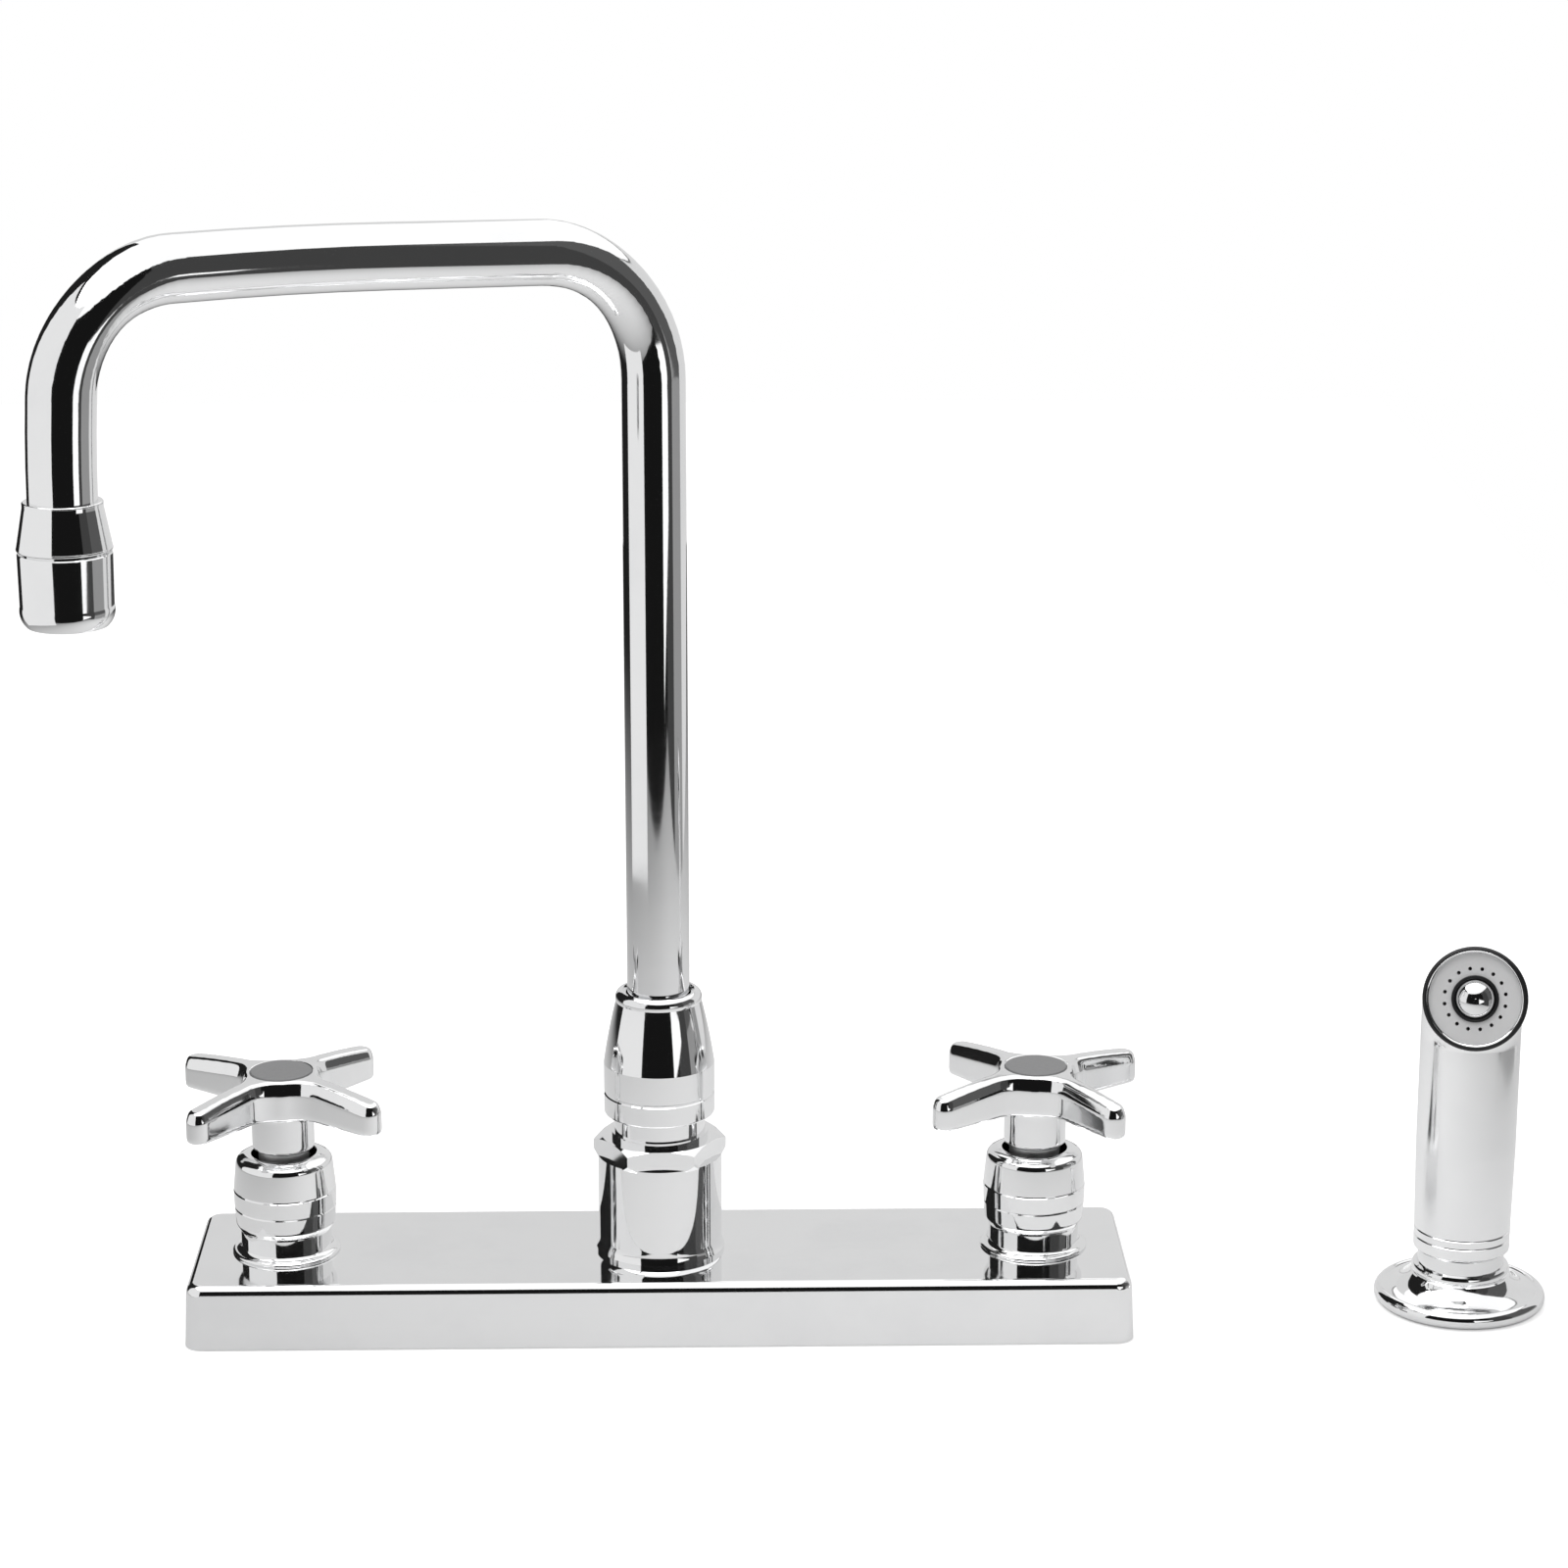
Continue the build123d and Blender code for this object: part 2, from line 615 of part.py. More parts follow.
def bend_sections(bend, radius, stations):
    """Ovals square to a bend, squeezed in its plane most at the middle."""
    sections = []
    for k in range(stations):
        along = k / (stations - 1)
        share = sin(radians(180 * along)) ** 2
        oval = Ellipse(radius + TUBE_RADIUS * BEND_SPREAD * share,
                       radius - TUBE_RADIUS * BEND_SQUEEZE * share)
        plane = Plane(bend @ along, x_dir=(0, 0, 1), z_dir=bend % along)
        sections.append(plane * oval)
    return sections


def spout_pipe(radius):
    """The route as a solid rod of one radius, with the ovals in the two bends."""
    riser, first, run, sag, second, tail, drop = spout_route()
    start = Plane(riser @ 0, x_dir=(0, 0, 1), z_dir=riser % 0)
    pipe = sweep(start * Circle(radius), path=riser)
    pipe += sweep(bend_sections(first, radius, 9), path=first, multisection=True)
    middle = Plane(run @ 0, x_dir=(0, 0, 1), z_dir=run % 0)
    pipe += sweep(middle * Circle(radius), path=Wire([run.edge(), sag.edge()]))
    pipe += sweep(bend_sections(second, radius, 9), path=second, multisection=True)
    last = Plane(tail @ 0, x_dir=(0, 0, 1), z_dir=tail % 0)
    pipe += sweep(last * Circle(radius), path=Wire([tail.edge(), drop.edge()]))
    return pipe


def spout_tube():
    return SPOUT_PLANE * (spout_pipe(TUBE_RADIUS) - spout_pipe(TUBE_RADIUS - TUBE_WALL))


def outlet_place():
    reach = (spout_route()[-1] @ 1).X
    return Pos(reach * SPOUT_OUT[0], reach * SPOUT_OUT[1], 0)


def spout_ferrule():
    flange = FERRULE_FLANGE_TOP
    ferrule = turned(
        (TUBE_RADIUS, FERRULE_BOTTOM),
        (FERRULE_RADIUS - 0.5, FERRULE_BOTTOM),
        (FERRULE_RADIUS, FERRULE_BOTTOM + 0.5),
        (FERRULE_RADIUS, HUB_TOP + 1.05),
        (NUT_BEARING_BORE - 0.2, HUB_TOP + 1.05),
        (NUT_BEARING_BORE - 0.2, flange),
        (TUBE_RADIUS, flange),
    )
    for z in SPOUT_SEAL_Z:
        groove = tube(FERRULE_RADIUS + 1, FERRULE_RADIUS - 2 * SPOUT_SEAL_WIRE, z - 0.9, z + 0.9)
        ferrule -= groove
    return ferrule


def spout_seals():
    ring = Torus(FERRULE_RADIUS - SPOUT_SEAL_WIRE, SPOUT_SEAL_WIRE)
    return [Pos(0, 0, z) * ring for z in SPOUT_SEAL_Z]


# Outlet: a collar on the tube's end, and the aerator screwed into it
def outlet_collar():
    return turned(
        (TUBE_RADIUS, TUBE_END_Z),
        (TUBE_RADIUS, COLLAR_TOP),
        (9.3, COLLAR_TOP),
        ((9.55, COLLAR_TOP - 0.15), (9.6, COLLAR_TOP - 0.5)),
        (9.6, 242.2),
        (11.35, 232.6),
        ((11.4, 232.1), (11.2, COLLAR_BOTTOM)),
        (AERATOR_NECK_RADIUS, COLLAR_BOTTOM),
        (AERATOR_NECK_RADIUS, TUBE_END_Z),
    )


def aerator_housing():
    return turned(
        (8.3, AERATOR_BOTTOM),
        (9.6, AERATOR_BOTTOM),
        ((10.7, 214.9), (11.15, 218.5)),
        (11.3, AERATOR_SHOULDER - 0.3),
        (11.1, AERATOR_SHOULDER),
        (AERATOR_NECK_RADIUS, AERATOR_SHOULDER),
        (AERATOR_NECK_RADIUS, AERATOR_NECK_TOP),
        (8.3, AERATOR_NECK_TOP),
        (8.3, 229.0),
        (AERATOR_INSERT_RADIUS, 229.0),
        (AERATOR_INSERT_RADIUS, 215.6),
        (8.3, 215.6),
    )


def grid_points(pitch, reach):
    """A triangular grid within a radius."""
    points = []
    rows = int(reach / pitch) + 2
    for j in range(-rows, rows + 1):
        for i in range(-rows, rows + 1):
            x = pitch * (i + j / 2)
            y = pitch * j * sqrt(3) / 2
            if x * x + y * y <= reach * reach:
                points.append((x, y))
    return points


def aerator_insert():
    cage = tube(AERATOR_INSERT_RADIUS, 7.9, 215.6, 228.0)
    grid = Circle(7.9)
    hole = Circle(GRID_HOLE)
    for x, y in grid_points(GRID_PITCH, 6.9):
        grid -= Pos(x, y) * hole
    flow_disc = tube(7.9, 1.5, 224.0, 225.5)
    return cage + Pos(0, 0, 216.2) * extrude(grid, 1.6) + flow_disc


def aerator_washer():
    return tube(AERATOR_NECK_RADIUS, TUBE_RADIUS - TUBE_WALL, AERATOR_NECK_TOP, TUBE_END_Z)


# Spray guide: the dished flange that the hand piece stands in, and what holds it
def spray_guide():
    return turned(
        (GUIDE_BORE, GUIDE_END_Z),
        (GUIDE_THREAD_RADIUS, GUIDE_END_Z),
        (GUIDE_THREAD_RADIUS, WASHER_TOP),
        (GUIDE_SHANK_RADIUS, WASHER_TOP),
        (GUIDE_SHANK_RADIUS, 0),
        (22.0, 0),
        ((GUIDE_RADIUS, 1.9), (22.0, 4.1)),
        ((21.2, 4.3), (20.5, 3.9)),
        ((16.4, 5.3), (13.5, 8.3)),
        (13.1, 8.6),
        ((13.3, 9.8), (12.9, 11.0)),
        (11.8, 11.2),
        (11.6, GUIDE_TOP - 0.5),
        (11.2, GUIDE_TOP),
        (GUIDE_BORE, GUIDE_TOP),
    )


def guide_liner():
    return tube(GUIDE_BORE, LINER_BORE, LINER_BOTTOM, GUIDE_TOP)


def guide_washer():
    return tube(GUIDE_NUT_RADIUS, GUIDE_THREAD_RADIUS, NUT_SEAT_Z, WASHER_TOP)


def guide_nut():
    bottom = NUT_SEAT_Z - GUIDE_NUT_HEIGHT
    nut = rod(GUIDE_NUT_RADIUS, NUT_SEAT_Z - 2.5, NUT_SEAT_Z)
    nut += Pos(0, 0, bottom) * extrude(RegularPolygon(19, 6), GUIDE_NUT_HEIGHT)
    return nut - rod(GUIDE_THREAD_RADIUS, bottom, NUT_SEAT_Z)


# Hand piece, drawn upright over the origin with its nose towards -Y
BEND_CENTRE = (0, -BEND_RADIUS, BEND_Z)
BEND_TURN = 90 - NOSE_ELEVATION
BEND_AXIS = Axis(BEND_CENTRE, (1, 0, 0))


def nose_plane():
    """The plane at the end of the bend, square to the nose, with its Z out of the face."""
    turn = radians(BEND_TURN)
    origin = (
        0,
        -BEND_RADIUS + BEND_RADIUS * cos(turn),
        BEND_Z + BEND_RADIUS * sin(turn),
    )
    out = (0, -sin(turn), cos(turn))
    return Plane(origin=origin, x_dir=(1, 0, 0), z_dir=out)


NOSE = nose_plane()


def bend_at(angle, shape):
    """A shape drawn across the grip's top, turned about the bend's axis."""
    return Pos(*BEND_CENTRE) * Rot(angle, 0, 0) * Pos(0, BEND_RADIUS, 0) * shape


def lever_section(inner, crest, half_width):
    """The lever's cross-section: flat inside, crowned outside."""
    strip = Pos(0, (inner + crest + 2) / 2) * Rectangle(2 * half_width, crest + 2 - inner)
    return strip & Circle(crest)


def lever_sweep(inner, crest, half_width, top, flare, tail):
    """The section carried round the bend from its top angle, then straight down the back."""
    section = lever_section(inner, crest, half_width)
    arc = revolve(bend_at(flare, section), BEND_AXIS, top - flare)
    straight = bend_at(flare, extrude(section, -tail))
    return arc + straight


def pin_place():
    angle = radians(PIN_ANGLE)
    return Pos(0, -BEND_RADIUS + PIN_REACH * cos(angle), BEND_Z + PIN_REACH * sin(angle))


def cross_rod(radius, length):
    return Rot(0, 90, 0) * Cylinder(radius, length)


def bore_y(radius, z, front, back):
    """A bore along Y between two Y values."""
    return Pos(0, back, z) * Rot(90, 0, 0) * Cylinder(radius, back - front, align=LOW)


def duct_to_nose():
    """The slanting water duct from the valve's outlet to the chamber behind the face."""
    start = Vector(0, OUTLET_Y, OUTLET_TOP - OUTLET_RADIUS / 2)
    end = NOSE.from_local_coords(Vector(0, -5.5, 2.5))
    span = end - start
    duct = Cylinder(OUTLET_RADIUS, span.length, align=LOW)
    return Plane(start, z_dir=span) * duct + Pos(start) * Sphere(OUTLET_RADIUS)


def spray_body():
    grip = turned(
        (0, GRIP_BOTTOM),
        (GRIP_FOOT_RADIUS - 0.7, GRIP_BOTTOM),
        ((GRIP_FOOT_RADIUS - 0.2, GRIP_BOTTOM + 0.2), (GRIP_FOOT_RADIUS, GRIP_BOTTOM + 0.7)),
        (GRIP_FOOT_RADIUS, 19.0),
        (GRIP_FOOT_RADIUS - 0.25, 19.25),
        (GRIP_FOOT_RADIUS, 19.5),
        (GRIP_FOOT_RADIUS, 21.3),
        (GRIP_FOOT_RADIUS - 0.25, 21.55),
        (GRIP_FOOT_RADIUS, 21.8),
        (GRIP_RADIUS, GRIP_STRAIGHT_Z),
        (GRIP_RADIUS, BEND_Z),
        (0, BEND_Z),
    )
    grip += rod(TAIL_STEM_RADIUS, TAIL_STEM_BOTTOM, GRIP_BOTTOM + 1)
    grip += revolve(Pos(0, 0, BEND_Z) * Circle(GRIP_RADIUS), BEND_AXIS, BEND_TURN)
    grip += NOSE * rod(GRIP_RADIUS, 0, NOSE_LENGTH)
    grip -= lever_sweep(
        POCKET_FLOOR, 20, LEVER_HALF_WIDTH + 0.4, LEVER_TOP_ANGLE + 2.5, 0, POCKET_TAIL
    )
    lug_slot = Box(LUG_WIDTH + 0.6, 12, 6.6)
    grip -= pin_place() * Rot(PIN_ANGLE, 0, 0) * Pos(0, 3.0, 0) * lug_slot
    grip -= lever_pin()
    grip -= NOSE * rod(11.4, 1.5, NOSE_LENGTH)
    grip -= bore_y(CHAMBER_RADIUS, PLUNGER_Z, CHAMBER_END, POCKET_FLOOR)
    grip -= Pos(0, INLET_Y, 0) * rod(INLET_RADIUS, TAIL_STEM_BOTTOM + 7, PLUNGER_Z)
    grip -= Pos(0, OUTLET_Y, 0) * rod(OUTLET_RADIUS, PLUNGER_Z, OUTLET_TOP)
    grip -= duct_to_nose()
    grip -= rod(SPIGOT_RADIUS, TAIL_STEM_BOTTOM, TAIL_STEM_BOTTOM + 9)
    return grip


def thumb_lever():
    lever = lever_sweep(
        LEVER_INNER, LEVER_CREST_RADIUS, LEVER_HALF_WIDTH, LEVER_TOP_ANGLE, LEVER_FLARE, LEVER_TAIL
    )
    lug = cross_rod(LUG_RADIUS, LUG_WIDTH)
    lug += Pos(0, 1.8, 0) * Box(LUG_WIDTH, 3.6, 2 * LUG_RADIUS)
    lever += pin_place() * Rot(PIN_ANGLE, 0, 0) * lug
    return lever - pin_place() * cross_rod(PIN_RADIUS + 0.08, 8)


def lever_pin():
    return pin_place() * cross_rod(PIN_RADIUS, PIN_LENGTH)


def valve_seat():
    gland = bore_y(CHAMBER_RADIUS, PLUNGER_Z, GLAND_END, POCKET_FLOOR)
    gland -= bore_y(PLUNGER_RADIUS + 0.08, PLUNGER_Z, GLAND_END, POCKET_FLOOR)
    gland -= bore_y(2.9, PLUNGER_Z, GLAND_END, 6.8)
    return gland - Pos(0, OUTLET_Y, 0) * rod(OUTLET_RADIUS - 0.3, PLUNGER_Z, PLUNGER_Z + 8)


def valve_plunger():
    stem_rod = bore_y(PLUNGER_RADIUS, PLUNGER_Z, 0.5, PLUNGER_TIP)
    disc = bore_y(VALVE_DISC_RADIUS, PLUNGER_Z, SPRING_SEAT_Y, GLAND_END - 0.05)
    spigot = bore_y(SPRING_RADIUS - 1.2, PLUNGER_Z, SPRING_SEAT_Y - 2, SPRING_SEAT_Y)
    return fillet(stem_rod.faces().sort_by(Axis.Y)[-1].edges(), 0.9) + disc + spigot


def plunger_spring():
    start = (0, SPRING_SEAT_Y - SPRING_WIRE, PLUNGER_Z)
    coil = Helix(SPRING_PITCH, SPRING_LENGTH, SPRING_RADIUS, center=start, direction=(0, -1, 0))
    section = Plane(coil @ 0, z_dir=coil % 0) * Circle(SPRING_WIRE)
    return sweep(section, path=coil)


def hose_connector():
    connector = rod(SPIGOT_RADIUS, HOSE_HEX_TOP, TAIL_STEM_BOTTOM + 7)
    hexagon = extrude(RegularPolygon(9.2, 6), HOSE_HEX_TOP - HOSE_THREAD_TOP)
    connector += Pos(0, 0, HOSE_THREAD_TOP) * hexagon
    connector += rod(HOSE_THREAD_RADIUS, HOSE_END_Z, HOSE_THREAD_TOP)
    return connector - rod(3.0, HOSE_END_Z, TAIL_STEM_BOTTOM + 7)


def connector_washer():
    return tube(8.4, SPIGOT_RADIUS, HOSE_HEX_TOP, TAIL_STEM_BOTTOM)


# Spray head: bezel ring, perforated face and the polished dome at its middle
def spray_bezel():
    top = NOSE_LENGTH + BEZEL_LENGTH
    return NOSE * turned(
        (FACE_RADIUS, NOSE_LENGTH),
        (GRIP_RADIUS, NOSE_LENGTH),
        (GRIP_RADIUS, top - 1.0),
        ((13.15, top - 0.3), (12.7, top)),
        ((12.3, top - 0.2), (FACE_RADIUS, top - 0.7)),
    )


def spray_face():
    disc = Circle(FACE_RADIUS)
    for k in range(SPRAY_HOLES):
        turn = Rot(0, 0, 360 * (k + 0.5) / SPRAY_HOLES)
        disc -= turn * Pos(SPRAY_HOLE_CIRCLE, 0) * Circle(SPRAY_HOLE_RADIUS)
    plate = extrude(disc, FACE_THICKNESS) - rod(DOME_RADIUS, FACE_THICKNESS - 0.5, FACE_THICKNESS)
    rim = tube(DOME_RING_RADIUS, DOME_RADIUS, FACE_THICKNESS - 0.5, FACE_THICKNESS + 0.5)
    return NOSE * Pos(0, 0, NOSE_LENGTH) * (plate + rim)


def face_dome():
    radius = (DOME_RADIUS**2 + DOME_HEIGHT**2) / (2 * DOME_HEIGHT)
    cap = Pos(0, 0, DOME_HEIGHT - radius) * Sphere(radius) & rod(DOME_RADIUS, -0.5, DOME_HEIGHT + 1)
    return NOSE * Pos(0, 0, NOSE_LENGTH + FACE_THICKNESS) * cap


# Write the nodes
save("deck_cover", deck_cover())
save("cover_gasket", cover_gasket())
save("body_casting", body_casting())
sides = (("left", -HANDLE_X, LEFT_ARM_ANGLE), ("right", HANDLE_X, RIGHT_ARM_ANGLE))
save("mounting_washers", *[Pos(x, 0, 0) * mounting_washer() for _, x, _ in sides])
save("mounting_nuts", *[Pos(x, 0, 0) * mounting_nut() for _, x, _ in sides])
for side, x, angle in sides:
    place = Pos(x, 0, 0)
    turned_place = place * Rot(0, 0, angle)
    save(f"{side}_bonnet", place * bonnet())
    save(f"{side}_cartridge", place * cartridge())
    save(f"{side}_fixed_disc", place * fixed_disc())
    save(f"{side}_seat_seal", place * seat_seal())
    save(f"{side}_moving_disc", place * moving_disc())
    save(f"{side}_stem", turned_place * stem())
    save(f"{side}_stem_seals", *[place * ring for ring in stem_seals()])
    save(f"{side}_handle", turned_place * handle())
    save(f"{side}_handle_screw", place * handle_screw())
    save(f"{side}_index_button", place * index_button())
save("spout_hub", spout_hub())
save("hub_washer", hub_washer())
save("spout_nut", spout_nut())
save("spout_thrust_washer", spout_thrust_washer())
save("spout_bearing", spout_bearing())
save("diverter_sleeve", diverter_sleeve())
save("diverter_piston", diverter_piston())
save("spout_tube", spout_tube())
save("spout_ferrule", spout_ferrule())
save("spout_seals", *spout_seals())
outlet = outlet_place()
save("outlet_collar", outlet * outlet_collar())
save("aerator_housing", outlet * aerator_housing())
save("aerator_insert", outlet * aerator_insert())
save("aerator_washer", outlet * aerator_washer())
spray = Pos(SPRAY_X, 0, 0)
save("spray_guide", spray * spray_guide())
save("guide_liner", spray * guide_liner())
save("guide_washer", spray * guide_washer())
save("guide_nut", spray * guide_nut())
hand_piece = spray * Rot(0, 0, SPRAY_TURN)
save("spray_body", hand_piece * spray_body())
save("spray_bezel", hand_piece * spray_bezel())
save("spray_face", hand_piece * spray_face())
save("face_dome", hand_piece * face_dome())
save("thumb_lever", hand_piece * thumb_lever())
save("lever_pin", hand_piece * lever_pin())
save("valve_seat", hand_piece * valve_seat())
save("valve_plunger", hand_piece * valve_plunger())
save("plunger_spring", hand_piece * plunger_spring())
save("hose_connector", hand_piece * hose_connector())
save("connector_washer", hand_piece * connector_washer())
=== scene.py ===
from math import cos, pi, radians, sin

import bpy
from mathutils import Matrix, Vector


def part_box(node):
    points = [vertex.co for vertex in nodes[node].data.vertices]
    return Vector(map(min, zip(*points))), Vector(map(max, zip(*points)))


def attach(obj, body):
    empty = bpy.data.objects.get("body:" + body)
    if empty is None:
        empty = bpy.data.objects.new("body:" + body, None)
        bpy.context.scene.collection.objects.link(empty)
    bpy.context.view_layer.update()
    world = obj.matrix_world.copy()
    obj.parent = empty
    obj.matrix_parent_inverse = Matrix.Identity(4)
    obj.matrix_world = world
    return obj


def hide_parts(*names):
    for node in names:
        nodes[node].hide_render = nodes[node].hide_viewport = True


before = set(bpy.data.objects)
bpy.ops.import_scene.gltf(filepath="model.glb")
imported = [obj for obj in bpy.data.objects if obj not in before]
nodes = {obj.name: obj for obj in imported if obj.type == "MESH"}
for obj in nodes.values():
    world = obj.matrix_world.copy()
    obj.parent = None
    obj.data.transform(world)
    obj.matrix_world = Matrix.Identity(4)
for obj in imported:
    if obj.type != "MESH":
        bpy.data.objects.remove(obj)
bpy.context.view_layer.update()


# Deck plate: a shell die-cast in zinc, ground and buffed, then plated with bright nickel
# and chromium. Buffing leaves a slow swell in the flat faces and hair-fine lines along them.
class Socket:
    """An output in a material's nodes, on which arithmetic adds the Math nodes."""

    def __init__(self, tree, link=None):
        self.tree = tree
        self.link = link

    def node(self, kind, settings=None, output=0, **inputs):
        """Adds a node, sets it up, then gives its sockets their values or links."""
        made = self.tree.nodes.new("ShaderNode" + kind)
        for name, value in (settings or {}).items():
            setattr(made, name, value)
        for name, value in inputs.items():
            slot = made.inputs[int(name[1:]) if name[1:].isdigit() else name.replace("_", " ")]
            if isinstance(value, Socket):
                self.tree.links.new(value.link, slot)
            else:
                slot.default_value = value
        return Socket(self.tree, made.outputs[output])

    def maths(self, operation, *values):
        numbered = {f"i{k}": value for k, value in enumerate(values)}
        return self.node("Math", {"operation": operation}, **numbered)

    def __add__(self, other):
        return self.maths("ADD", self, other)

    def __radd__(self, other):
        return self.maths("ADD", other, self)

    def __sub__(self, other):
        return self.maths("SUBTRACT", self, other)

    def __rsub__(self, other):
        return self.maths("SUBTRACT", other, self)

    def __mul__(self, other):
        return self.maths("MULTIPLY", self, other)

    def __rmul__(self, other):
        return self.maths("MULTIPLY", other, self)

    def step(self, low, high):
        """A smooth step from 0 at low to 1 at high."""
        return self.node("MapRange", {"interpolation_type": "SMOOTHSTEP"},
                         Value=self, From_Min=low, From_Max=high)

    def stretched(self, x, y, z):
        """These coordinates, scaled along each axis."""
        return self.node("VectorMath", {"operation": "MULTIPLY"}, i0=self, i1=(x, y, z))

    def noise(self, scale, detail, roughness):
        """A noise over these coordinates, which repeats about scale times a metre."""
        return self.node("TexNoise", Vector=self, Scale=scale, Detail=detail,
                         Roughness=roughness)

    def blend(self, first, second):
        """The first colour where this is 0 and the second where it is 1."""
        return self.node("Mix", {"data_type": "RGBA"}, output=2, Factor=self,
                         i6=first, i7=second)


class Finish:
    """A material on the Principled shader: constants on its sockets, the rest fed to them."""

    def __init__(self, name, **constants):
        self.material = bpy.data.materials.new(name)
        self.material.use_nodes = True
        self.shader = self.material.node_tree.nodes["Principled BSDF"]
        for socket, value in constants.items():
            self.shader.inputs[socket.replace("_", " ")].default_value = value
        self.start = Socket(self.material.node_tree)
        self.place = self.start.node("TexCoord", output="Object")

    def feed(self, socket, value):
        self.material.node_tree.links.new(value.link, self.shader.inputs[socket])

    def bump(self, height, distance):
        """Relief of that depth, in metres."""
        self.feed("Normal", self.start.node("Bump", Height=height, Distance=distance,
                                            Strength=1.0))

    def wear(self, *names):
        """These nodes are made of this."""
        for name in names:
            slots = nodes[name].data.materials
            slots.clear()
            slots.append(self.material)


def chrome(name, lay, swell, swell_size, haze=0.04, tone=0.9):
    """Bright chromium. lay scales the fine lines along each axis, so it is small along the
    polish. swell is the depth and swell_size the width of the slow waves, in metres."""
    made = Finish(name, Metallic=1.0, IOR=2.2)
    smear = made.place.noise(38.0, 4.0, 0.6).step(0.42, 0.7)
    lines = made.place.stretched(*lay).noise(1.0, 3.0, 0.65)
    made.feed("Roughness", haze + 0.03 * smear + 0.025 * lines)
    dull = (tone * 0.95, tone * 0.953, tone * 0.96, 1)
    bright = (tone, tone * 1.002, tone * 1.005, 1)
    made.feed("Base Color", (0.6 * smear + 0.4 * lines).blend(bright, dull))
    ripple = made.place.noise(1 / swell_size, 1.0, 0.4)
    made.bump(ripple + 0.03 * lines, swell)
    return made


plate_chrome = chrome("plate_chrome", lay=(25, 1500, 1500), swell=0.00003, swell_size=0.07)
plate_chrome.wear("deck_cover")

# Gasket and seals: soft foam rubber stuck under the plate's rim, where it seals the shell
# to the deck, and moulded nitrile rubber for the washers, the valve seals and the O-rings
rubber = Finish("seal_rubber", Base_Color=(0.022, 0.022, 0.023, 1), Specular_IOR_Level=0.35)
rubber_grain = rubber.place.noise(1400.0, 4.0, 0.7)
rubber.feed("Roughness", 0.55 + 0.25 * rubber_grain)
rubber.bump(rubber_grain, 0.00004)
rubber.wear("cover_gasket", "hub_washer", "aerator_washer", "connector_washer")
rubber.wear("spout_seals", "left_seat_seal", "right_seat_seal")
rubber.wear("left_stem_seals", "right_stem_seals")

# Waterway: sand-cast brass whose shanks, sockets and bores are machined, with turned brass
# stems, ferrule and hose connector. It is left bare, so it is brown where it has tarnished.
brass = Finish("bare_brass", Metallic=1.0)
sand = brass.place.noise(900.0, 5.0, 0.7)
tarnish = brass.place.noise(55.0, 4.0, 0.6).step(0.4, 0.72)
brass.feed("Base Color", tarnish.blend((0.78, 0.57, 0.26, 1), (0.46, 0.31, 0.13, 1)))
brass.feed("Roughness", 0.24 + 0.2 * tarnish + 0.12 * sand)
brass.bump(sand, 0.00006)
brass.wear("body_casting", "left_stem", "right_stem", "spout_ferrule", "hose_connector")

# Threads: cut on the shanks for the mounting nuts and the supply lines, on the riser's
# nipple and on the hose's connector. Each is one ridge wound round its shank, which runs
# out into the shank at both ends.
THREAD_STEPS = 28
RUN_OUT = 0.6
RIDGE_HALF = 0.399
CREST_HALF = 0.057
ROOT_DEPTH = 0.1
RUN_OUT_DEPTH = 0.05
END_SPARE = 0.35


def thread(name, centre, radius, low, high, pitch, height):
    """A ridge wound round a vertical shank of that radius, from low to high. Its half
    widths are shares of the pitch, and its depths are shares of the height."""
    turns = (high - low) / pitch - 2 * END_SPARE
    count = round(turns * THREAD_STEPS)
    points = []
    for k in range(count + 1):
        turn = k / THREAD_STEPS
        angle = 2 * pi * turn
        rise = min(1.0, turn / RUN_OUT, (turns - turn) / RUN_OUT)
        crest = rise - RUN_OUT_DEPTH * (1 - rise)
        section = ((-RIDGE_HALF, -ROOT_DEPTH), (-CREST_HALF, crest),
                   (CREST_HALF, crest), (RIDGE_HALF, -ROOT_DEPTH))
        for along, out in section:
            reach = radius + height * out
            points.append((centre[0] + reach * cos(angle), centre[1] + reach * sin(angle),
                           low + pitch * (END_SPARE + turn + along)))
    sides = len(section)
    last = sides * count
    faces = []
    for first in range(0, last, sides):
        for j in range(sides):
            on = (j + 1) % sides
            faces.append((first + j, first + sides + j, first + sides + on, first + on))
    faces += [(0, 1, 2, 3), (last + 3, last + 2, last + 1, last)]
    mesh = bpy.data.meshes.new(name)
    mesh.from_pydata(points, [], faces)
    ridge = bpy.data.objects.new(name, mesh)
    bpy.context.scene.collection.objects.link(ridge)
    return ridge


SHANK_X = 0.1016
SHANK_RADIUS = 0.01045
SHANK_PITCH = 0.001814
SHANK_RIDGE = 0.0003
SHANK_THREAD_TOP = -0.004
DECK_GRIP = 0.0305
SUPPLY_THREAD_Z = (-0.0595, -0.0482)
NIPPLE_RADIUS = 0.00685
NIPPLE_PITCH = 0.001411
NIPPLE_RIDGE = 0.00026
NIPPLE_THREAD_Z = (-0.0338, -0.022)

for side, x in (("left", -SHANK_X), ("right", SHANK_X)):
    grip = thread(side + "_shank_thread", (x, 0), SHANK_RADIUS, -DECK_GRIP,
                  SHANK_THREAD_TOP, SHANK_PITCH, SHANK_RIDGE)
    supply = thread(side + "_supply_thread", (x, 0), SHANK_RADIUS, *SUPPLY_THREAD_Z,
                    SHANK_PITCH, SHANK_RIDGE)
    for ridge in (grip, supply):
        ridge.data.materials.append(brass.material)
        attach(ridge, "base")

